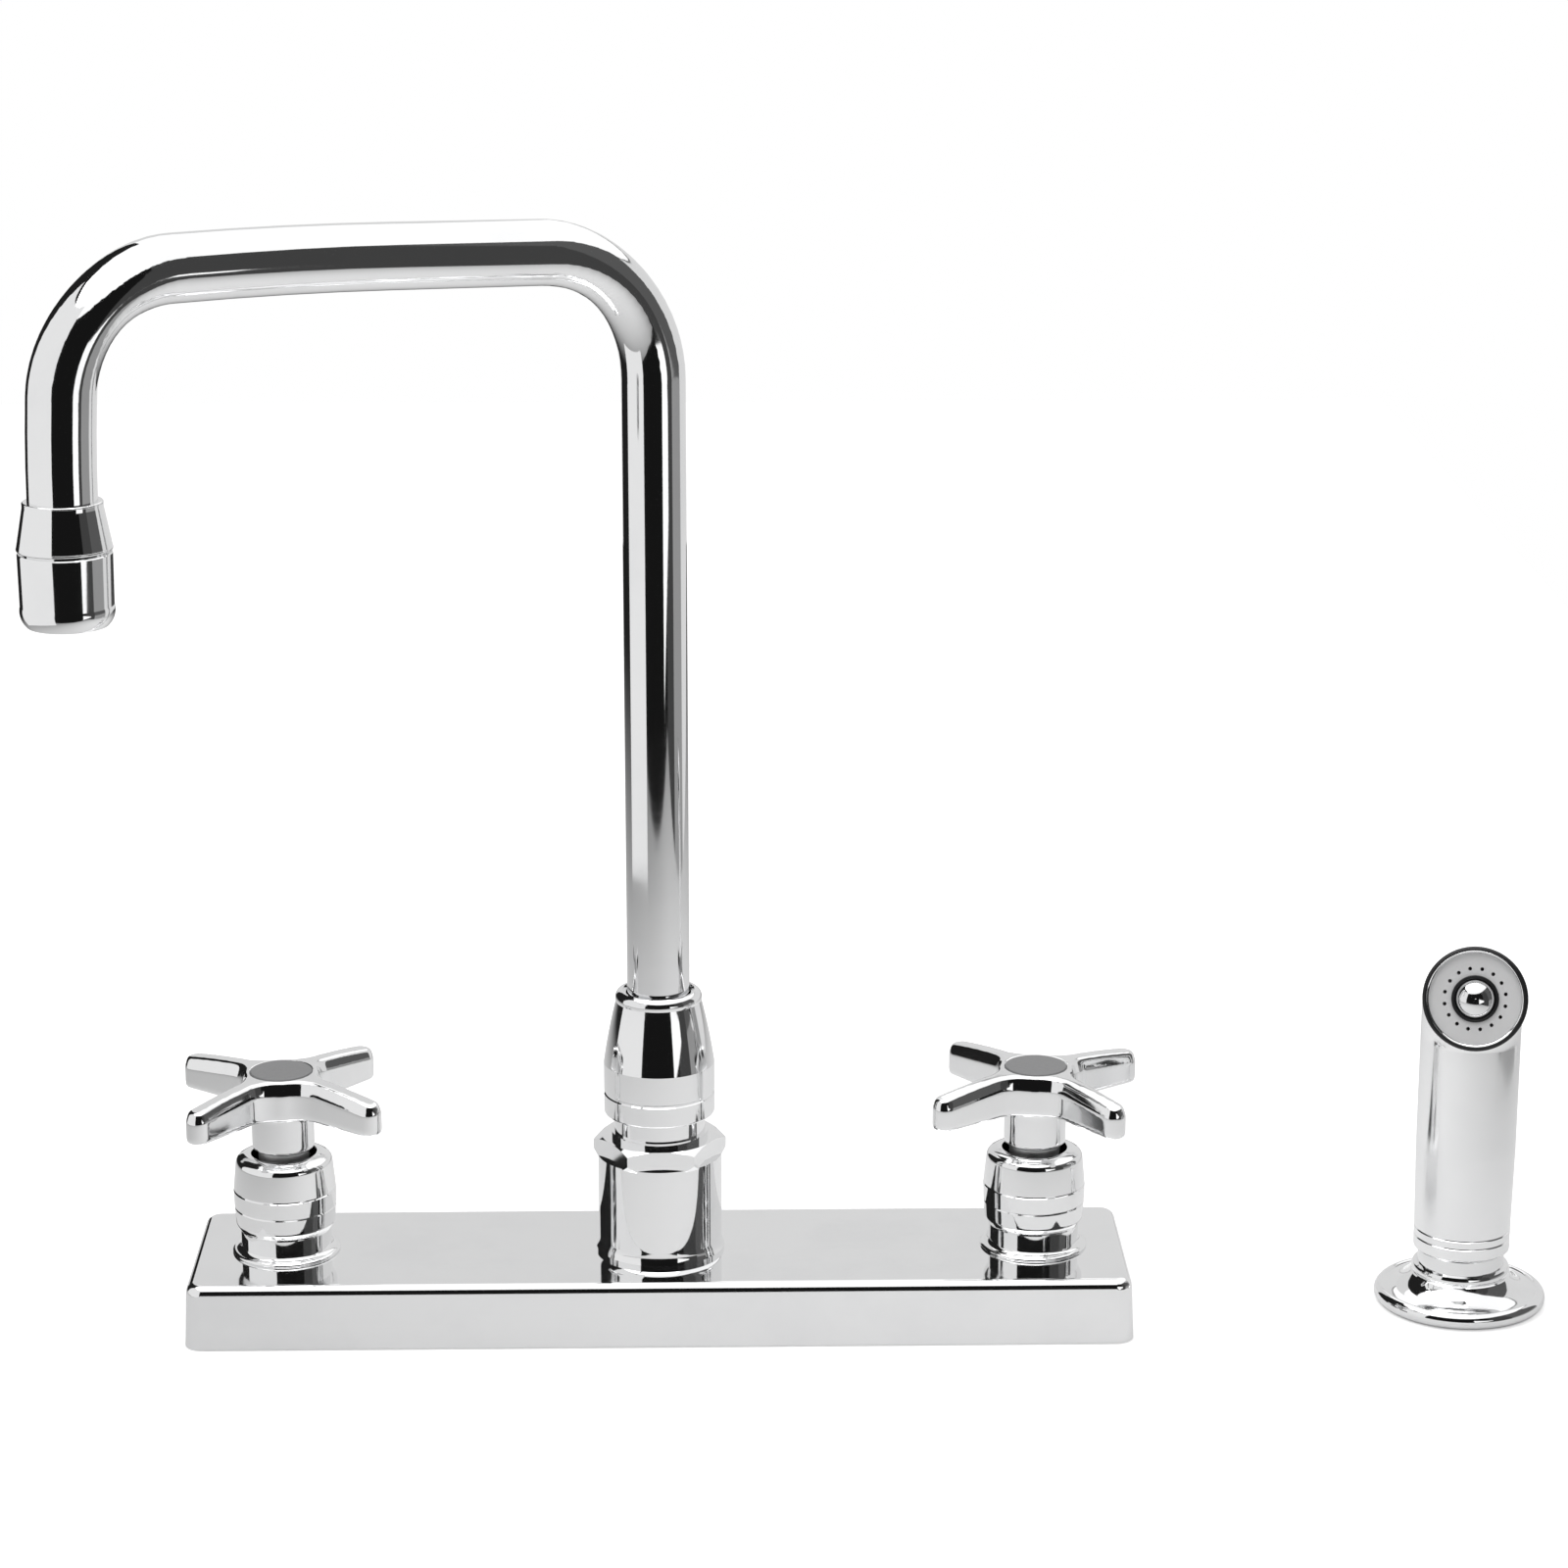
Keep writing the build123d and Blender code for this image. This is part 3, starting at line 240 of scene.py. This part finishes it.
nipple_thread = thread("nipple_thread", (0, 0), NIPPLE_RADIUS, *NIPPLE_THREAD_Z,
                       NIPPLE_PITCH, NIPPLE_RIDGE)
nipple_thread.data.materials.append(brass.material)
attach(nipple_thread, "base")

# Mounting nuts, and the guide's nut and liner: black glass-filled nylon, moulded with a
# fine pebble on the skin. The nuts are run up by hand below the deck.
nylon = Finish("nut_plastic", Base_Color=(0.03, 0.03, 0.033, 1), Specular_IOR_Level=0.4)
pebble = nylon.place.noise(700.0, 4.0, 0.6)
nylon.feed("Roughness", 0.42 + 0.25 * pebble)
nylon.bump(pebble, 0.00003)
nylon.wear("mounting_nuts", "guide_nut", "guide_liner")

# Washers, screws, the lever's pin and the plunger's spring: stainless steel, stamped or
# drawn, with fine marks of the tool and no plate
steel = Finish("steel", Metallic=1.0)
turning = steel.place.stretched(1, 1, 14).noise(420.0, 4.0, 0.7)
steel.feed("Base Color", turning.blend((0.62, 0.62, 0.63, 1), (0.46, 0.46, 0.47, 1)))
steel.feed("Roughness", 0.2 + 0.18 * turning)
steel.bump(turning, 0.000015)
steel.wear("mounting_washers", "guide_washer", "left_handle_screw", "right_handle_screw")
steel.wear("lever_pin", "plunger_spring")

# Cartridges: turned brass shells under a dull nickel plate, because their necks show
# between the bonnets and the handles' skirts.
nickel = Finish("dull_nickel", Metallic=1.0)
tool_marks = nickel.place.stretched(1, 1, 20).noise(500.0, 3.0, 0.6)
nickel.feed("Base Color", tool_marks.blend((0.86, 0.86, 0.865, 1), (0.66, 0.66, 0.665, 1)))
nickel.feed("Roughness", 0.3 + 0.2 * tool_marks)
nickel.bump(tool_marks, 0.00002)
nickel.wear("left_cartridge", "right_cartridge")

# Valve discs: alumina ceramic, pressed and fired, then lapped flat until each pair slides
# and seals without grease
ceramic = Finish("ceramic")
lapping = ceramic.place.noise(1500.0, 3.0, 0.6)
ceramic.feed("Base Color", lapping.blend((0.9, 0.88, 0.84, 1), (0.82, 0.8, 0.76, 1)))
ceramic.feed("Roughness", 0.12 + 0.15 * lapping)
ceramic.bump(lapping, 0.000004)
ceramic.wear("left_fixed_disc", "right_fixed_disc", "left_moving_disc", "right_moving_disc")

# Bearings, diverter, the spray's valve seat and plunger, and the aerator's insert: natural
# acetal, moulded, so it is milky with a faint flow in it
acetal = Finish("white_acetal")
flow = acetal.place.noise(260.0, 3.0, 0.5)
acetal.feed("Base Color", flow.blend((0.84, 0.84, 0.81, 1), (0.76, 0.76, 0.72, 1)))
acetal.feed("Roughness", 0.32 + 0.2 * flow)
acetal.bump(flow, 0.00001)
acetal.wear("spout_thrust_washer", "spout_bearing", "diverter_sleeve", "diverter_piston")
acetal.wear("aerator_insert", "valve_seat", "valve_plunger")

# Bonnets, hub, nut, guide and outlet: turned from brass bar, buffed on the spindle, which
# leaves fine rings, and plated. Each bonnet is a barrel with two shallow grooves.
turned_chrome = chrome("fitting_chrome", lay=(160, 160, 2600), swell=0.00003, swell_size=0.02)
turned_chrome.wear("left_bonnet", "right_bonnet", "spout_hub", "spout_nut")
turned_chrome.wear("spray_guide", "outlet_collar", "aerator_housing")

RING_STEPS = 144
RING_CREASE = 22
CURVE_STEPS = 8
BONNET_OUTLINE = (
    # radius and height in millimetres. A pair of points is a curve through one to the other
    (12.2, 17.4),
    (14.3, 17.4),
    ((14.55, 17.85), (14.2, 18.3)),
    ((13.9, 18.45), (13.5, 18.4)),
    ((12.5, 19.0), (11.85, 20.2)),
    ((11.5, 21.8), (11.8, 23.3)),
    ((12.6, 24.5), (13.2, 25.6)),
    ((13.35, 26.0), (13.42, 26.6)),
    (13.62, 30.2),
    (13.42, 30.5),
    (13.7, 30.8),
    (13.8, 35.1),
    (13.5, 35.4),
    (13.75, 35.7),
    (13.1, 42.4),
    ((12.75, 43.8), (11.9, 44.5)),
    ((10.6, 45.15), (9.2, 45.45)),
    ((8.9, 45.4), (8.8, 45.2)),
    (8.8, 33.0),
    (12.2, 33.0),
    (12.2, 17.4),
)


def turned_ring(name, centre, outline):
    """A turned piece, from its closed outline in radius and height."""
    profile = [outline[0]]
    for stop in outline[1:]:
        if isinstance(stop[0], tuple):
            (r0, z0), (rm, zm), (r1, z1) = profile[-1], stop[0], stop[1]
            for k in range(1, CURVE_STEPS + 1):
                t = k / CURVE_STEPS
                a, b, c = (1 - t) * (1 - 2 * t), 4 * t * (1 - t), t * (2 * t - 1)
                profile.append((a * r0 + b * rm + c * r1, a * z0 + b * zm + c * z1))
        else:
            profile.append(stop)
    profile.pop()
    count = len(profile)
    points = []
    for k in range(RING_STEPS):
        turn = 2 * pi * k / RING_STEPS
        for r, z in profile:
            out = r / 1000
            points.append((centre[0] + out * cos(turn), centre[1] + out * sin(turn), z / 1000))
    faces = []
    for k in range(RING_STEPS):
        here, after = k * count, (k + 1) % RING_STEPS * count
        for j in range(count):
            on = (j + 1) % count
            faces.append((here + j, after + j, after + on, here + on))
    mesh = bpy.data.meshes.new(name)
    mesh.from_pydata(points, [], faces)
    mesh.shade_smooth()
    mesh.set_sharp_from_angle(angle=radians(RING_CREASE))
    ring = bpy.data.objects.new(name, mesh)
    bpy.context.scene.collection.objects.link(ring)
    return ring


for side, x in (("left", -SHANK_X), ("right", SHANK_X)):
    cap = turned_ring(side + "_bonnet_cap", (x, 0), BONNET_OUTLINE)
    cap.data.materials.append(turned_chrome.material)
    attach(cap, "base")
    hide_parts(side + "_bonnet")

GUIDE_RADIUS = 0.014
GUIDE_PITCH = 0.002
GUIDE_RIDGE = 0.00032
GUIDE_THREAD_TOP = -0.003
guide_low, guide_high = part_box("spray_guide")
guide_axis = ((guide_low[0] + guide_high[0]) / 2, (guide_low[1] + guide_high[1]) / 2)
guide_thread = thread("guide_thread", guide_axis, GUIDE_RADIUS, -DECK_GRIP,
                      GUIDE_THREAD_TOP, GUIDE_PITCH, GUIDE_RIDGE)
guide_thread.data.materials.append(turned_chrome.material)
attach(guide_thread, "base")

# Spout: drawn brass tube, bent over a mandrel so that its two bends flatten a little, then
# polished and plated
tube_chrome = chrome("tube_chrome", lay=(900, 900, 900), swell=0.000004, swell_size=0.03)
tube_chrome.wear("spout_tube")

# Cross handles: die-cast in zinc with skirt and boss in one piece. The buffing wheel has
# washed over the edges, and the crowned faces stay a little uneven under the plate.
handle_chrome = chrome("handle_chrome", lay=(500, 500, 500), swell=0.00006, swell_size=0.012)
handle_chrome.wear("left_handle", "right_handle")
CAST_GRAIN = 0.00045
CAST_PASSES = 9

for side in ("left", "right"):
    drawn = nodes[side + "_handle"]
    cast = bpy.data.objects.new(side + "_handle_cast", drawn.data.copy())
    bpy.context.scene.collection.objects.link(cast)
    remesh = cast.modifiers.new("remesh", "REMESH")
    remesh.mode = "VOXEL"
    remesh.voxel_size = CAST_GRAIN
    remesh.use_smooth_shade = True
    wash = cast.modifiers.new("wash", "SMOOTH")
    wash.factor = 0.5
    wash.iterations = CAST_PASSES
    graph = bpy.context.evaluated_depsgraph_get()
    washed = bpy.data.meshes.new_from_object(cast.evaluated_get(graph))
    cast.modifiers.clear()
    cast.data = washed
    cast.data.materials.clear()
    cast.data.materials.append(handle_chrome.material)
    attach(cast, side + "_valve")
    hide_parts(side + "_handle")

# Index discs: satin grey plastic, moulded flat with a fine frosting and pressed over the
# handles' screws
index = Finish("index_grey", Base_Color=(0.2, 0.2, 0.203, 1))
frost = index.place.noise(1200.0, 3.0, 0.6)
index.feed("Roughness", 0.34 + 0.2 * frost)
index.bump(frost, 0.00001)
index.wear("left_index_button", "right_index_button")

# Hand spray: moulded plastic, plated, whose skin follows the mould and has a faint sink. A
# threaded brass connector in its foot takes the hose.
spray_chrome = chrome("spray_chrome", lay=(200, 200, 200), swell=0.00004, swell_size=0.025,
                      haze=0.11, tone=0.97)
spray_chrome.wear("spray_body", "thumb_lever")
turned_chrome.wear("spray_bezel", "face_dome")

CONNECTOR_RADIUS = 0.0066
CONNECTOR_RIDGE = 0.00025
CONNECTOR_LEAD = 0.0002
CONNECTOR_THREAD_TOP = 0.0096
connector_low, connector_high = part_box("hose_connector")
connector_axis = ((connector_low[0] + connector_high[0]) / 2,
                  (connector_low[1] + connector_high[1]) / 2)
hose_thread = thread("hose_thread", connector_axis, CONNECTOR_RADIUS,
                     connector_low[2] + CONNECTOR_LEAD,
                     connector_low[2] + CONNECTOR_THREAD_TOP, NIPPLE_PITCH, CONNECTOR_RIDGE)
hose_thread.data.materials.append(brass.material)
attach(hose_thread, "hand_spray")

# Spray face: light grey plastic, moulded with a fine grain and a ring of small holes, and
# held in the head by the bezel
face = Finish("face_grey", Base_Color=(0.63, 0.63, 0.633, 1))
face_grain = face.place.noise(1500.0, 3.0, 0.6)
face.feed("Roughness", 0.3 + 0.2 * face_grain)
face.bump(face_grain, 0.000008)
face.wear("spray_face")

# Spray head's rings: a black ring over the bezel's edge, a painted reflection that stands in
# for the chrome bezel's dark reflection, and a thin black rubber one that seals the polished
# dome's foot against the face
seal_and_painted_reflection_black = Finish("seal_and_painted_reflection_black", Base_Color=(0.012, 0.012, 0.013, 1),
                       Specular_IOR_Level=0.4)
skin = seal_and_painted_reflection_black.place.noise(900.0, 3.0, 0.6)
seal_and_painted_reflection_black.feed("Roughness", 0.28 + 0.2 * skin)
seal_and_painted_reflection_black.bump(skin, 0.00001)
SPRAY_PLACE = (0.219, 0, 0)
SPRAY_TURN = -9
FACE_CENTRE = (0, -0.01957, 0.09304)
FACE_TURN = 71
face_place = (Matrix.Translation(SPRAY_PLACE)
              @ Matrix.Rotation(radians(SPRAY_TURN), 4, "Z")
              @ Matrix.Translation(FACE_CENTRE)
              @ Matrix.Rotation(radians(FACE_TURN), 4, "X"))
# painted reflection: this black ring over the bezel's edge stands in for the dark reflection
# in the chrome bezel
PAINTED_REFLECTION_RING_OUTLINE = (
    # radius, and height in front of the face, in millimetres
    (13.3, 0.1),
    ((13.85, 0.75), (13.35, 1.4)),
    ((12.95, 1.45), (12.75, 1.2)),
    ((12.9, 0.6), (13.3, 0.1)),
)
DOME_SEAL_OUTLINE = (
    (6.25, 0.05),
    ((6.2, 0.66), (5.85, 0.82)),
    ((5.46, 0.62), (5.4, 0.2)),
    (6.25, 0.05),
)
for name, outline in (("bezel_painted_reflection_ring", PAINTED_REFLECTION_RING_OUTLINE), ("dome_seal", DOME_SEAL_OUTLINE)):
    ring = turned_ring(name, (0, 0), outline)
    ring.data.transform(face_place)
    ring.data.materials.append(seal_and_painted_reflection_black.material)
    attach(ring, "hand_spray")

# Table: pale paper that stands in for the deck, shows white to the lens and keeps a soft
# shadow. For metal its colour holds a painted pool of light round the tap, painted shade that
# darkens it with distance, and metal sees the dark room beyond its front edge.
POOL_CENTRE = (0.1, 0.0, 0.0)
POOL_REACH = 0.9
TABLE_FRONT = -0.48
TABLE_RIGHT = 0.42
TABLE_LEFT = -1.3
TABLE_BACK = 1.4
TABLE_DROP = 0.0003
TABLE_GLOW = 0.45

corners = [(TABLE_LEFT, TABLE_FRONT), (TABLE_RIGHT, TABLE_FRONT),
           (TABLE_RIGHT, TABLE_BACK), (TABLE_LEFT, TABLE_BACK)]
table_mesh = bpy.data.meshes.new("table")
table_mesh.from_pydata([(x, y, -TABLE_DROP) for x, y in corners], [], [(0, 1, 2, 3)])
table = bpy.data.objects.new("table", table_mesh)
bpy.context.scene.collection.objects.link(table)

paper = Finish("table_paper", Roughness=0.9, Emission_Strength=1.0)
ray = paper.start.node("LightPath", output="Is Camera Ray")
mirrored_ray = paper.start.node("LightPath", output="Is Glossy Ray")
reach = paper.place.node("VectorMath", {"operation": "DISTANCE"}, output="Value",
                         i0=paper.place, i1=POOL_CENTRE)
# painted shade: seen by glossy rays, the paper's colour darkens with distance from the pool's
# centre, a painted pool of light round the tap
painted_pool_shade = mirrored_ray * reach.step(0.0, POOL_REACH)
paper.feed("Base Color", painted_pool_shade.blend((0.85, 0.85, 0.85, 1), (0, 0, 0, 1)))
glow = ray * TABLE_GLOW
paper.feed("Emission Color", paper.start.node("CombineColor", Red=glow, Green=glow, Blue=glow))
table_mesh.materials.append(paper.material)

# Studio cards: curved panels round the tap that only polished metal sees, some black and
# some lit, as a photographer sets them to draw edges on chrome. The lit strip on the right
# and the white reflector on the left stand on the table, and the rest stand beyond it.
CARD_RADIUS = 1.0
STRIP_RADIUS = 0.62
REFLECTOR_RADIUS = 0.42
LOW_EDGE = -0.9
HORIZON = 0.1
CARD_TOP = 1.05
WALL_TOP = (1.05, 0.8)
SWEEP_TOP = (0.74, 0.5)
TRIM_TOP = (0.77, 0.53)
BACK_TOP = 0.85
LEFT_TOP = 1.42
REFLECTOR_TOP = 0.62
STRIP_FOOT = (0.015, 0.095)
STRIP_TOP = (0.24, 0.14)
CARDS = (
    # name, radius, from and to in degrees to the right of the lens, the foot's height, the
    # top's height, brightness. A pair of heights slopes from the one end to the other
    ("front_flag", CARD_RADIUS, -60, 44, LOW_EDGE, CARD_TOP, 0.008),
    ("right_flag", CARD_RADIUS, 44, 69, LOW_EDGE, CARD_TOP, 0.055),
    ("right_wall", CARD_RADIUS, 69, 108, LOW_EDGE, HORIZON, 0.31),
    ("right_wall_top", CARD_RADIUS, 69, 108, HORIZON, WALL_TOP, 0.1),
    ("right_sweep", CARD_RADIUS, 108, 180, LOW_EDGE, SWEEP_TOP, 0.74),
    ("sweep_trim", CARD_RADIUS, 108, 180, SWEEP_TOP, TRIM_TOP, 0.2),
    ("back_sweep", CARD_RADIUS, -180, -154, LOW_EDGE, BACK_TOP, 0.72),
    ("left_flag", CARD_RADIUS, -154, -60, LOW_EDGE, LEFT_TOP, 0.015),
    ("left_reflector", REFLECTOR_RADIUS, -104, -35, 0.0, REFLECTOR_TOP, 0.86),
    ("strip_light", STRIP_RADIUS, 31, 52, STRIP_FOOT, STRIP_TOP, 1.15),
)
CARD_STEP = 4


def card(name, radius, first, last, foot, top, brightness):
    """A lit or black panel on a circle, between two angles, whose foot and top may slope."""
    count = round((last - first) / CARD_STEP)
    shares = [k / count for k in range(count + 1)]
    points = []
    for edge in (foot, top):
        start, end = edge if isinstance(edge, tuple) else (edge, edge)
        for share in shares:
            turn = radians(first + (last - first) * share)
            height = start + (end - start) * share
            points.append((radius * sin(turn), -radius * cos(turn), height))
    faces = [(k, k + 1, k + count + 2, k + count + 1) for k in range(count)]
    mesh = bpy.data.meshes.new(name)
    mesh.from_pydata(points, [], faces)
    panel = bpy.data.objects.new(name, mesh)
    bpy.context.scene.collection.objects.link(panel)
    light = bpy.data.materials.new(name)
    light.use_nodes = True
    tree = light.node_tree
    lamp = Socket(tree).node("Emission", Color=(1, 1, 1, 1), Strength=brightness)
    tree.links.new(lamp.link, tree.nodes["Material Output"].inputs["Surface"])
    mesh.materials.append(light)
    for kind in ("camera", "diffuse", "transmission", "volume_scatter", "shadow"):
        setattr(panel, "visible_" + kind, False)


for row in CARDS:
    card(*row)

# Light: an even white surround, with one large soft box overhead that draws the shadow on
# the table and shades the plastics
AMBIENT = 0.62
MIRRORED = 1.14
BOX_LENGTH = 1.4
BOX_WIDTH = 1.0
BOX_POWER = 9.0
BOX_PLACE = (-0.2, -0.2, 1.3)

world = bpy.data.worlds.new("surround")
bpy.context.scene.world = world
world.use_nodes = True
sky = Socket(world.node_tree)
seen = sky.node("LightPath", output="Is Camera Ray")
mirrored = sky.node("LightPath", output="Is Glossy Ray")
through = sky.node("LightPath", output="Is Transmission Ray")
lit = seen.maths("MAXIMUM", seen, through)
strength = AMBIENT + (1 - AMBIENT) * lit + (MIRRORED - AMBIENT) * mirrored
backdrop = sky.node("Background", Color=(1, 1, 1, 1), Strength=strength)
surround = world.node_tree.nodes["World Output"].inputs["Surface"]
world.node_tree.links.new(backdrop.link, surround)

soft_box = bpy.data.objects.new("soft_box", bpy.data.lights.new("soft_box", "AREA"))
soft_box.data.shape = "RECTANGLE"
soft_box.data.size = BOX_LENGTH
soft_box.data.size_y = BOX_WIDTH
soft_box.data.energy = BOX_POWER
soft_box.location = BOX_PLACE
bpy.context.scene.collection.objects.link(soft_box)

# Camera: a long lens about a metre in front of the plate, looking down at it, with its
# place and angle fitted to the plate, the handles' axes and the riser
CAMERA_LENS = 95.24
CAMERA_SENSOR = 36.0
CAMERA_PLACE = (0.01204, -1.05731, 0.43876)
CAMERA_DIP = 15.39
CAMERA_TURN = -1.17
camera = bpy.data.objects.new("camera", bpy.data.cameras.new("camera"))
camera.data.lens = CAMERA_LENS
camera.data.sensor_width = CAMERA_SENSOR
camera.location = CAMERA_PLACE
camera.rotation_euler = (radians(90 - CAMERA_DIP), 0, radians(CAMERA_TURN))
bpy.context.scene.collection.objects.link(camera)
bpy.context.scene.camera = camera
bpy.context.scene.view_settings.view_transform = "Standard"
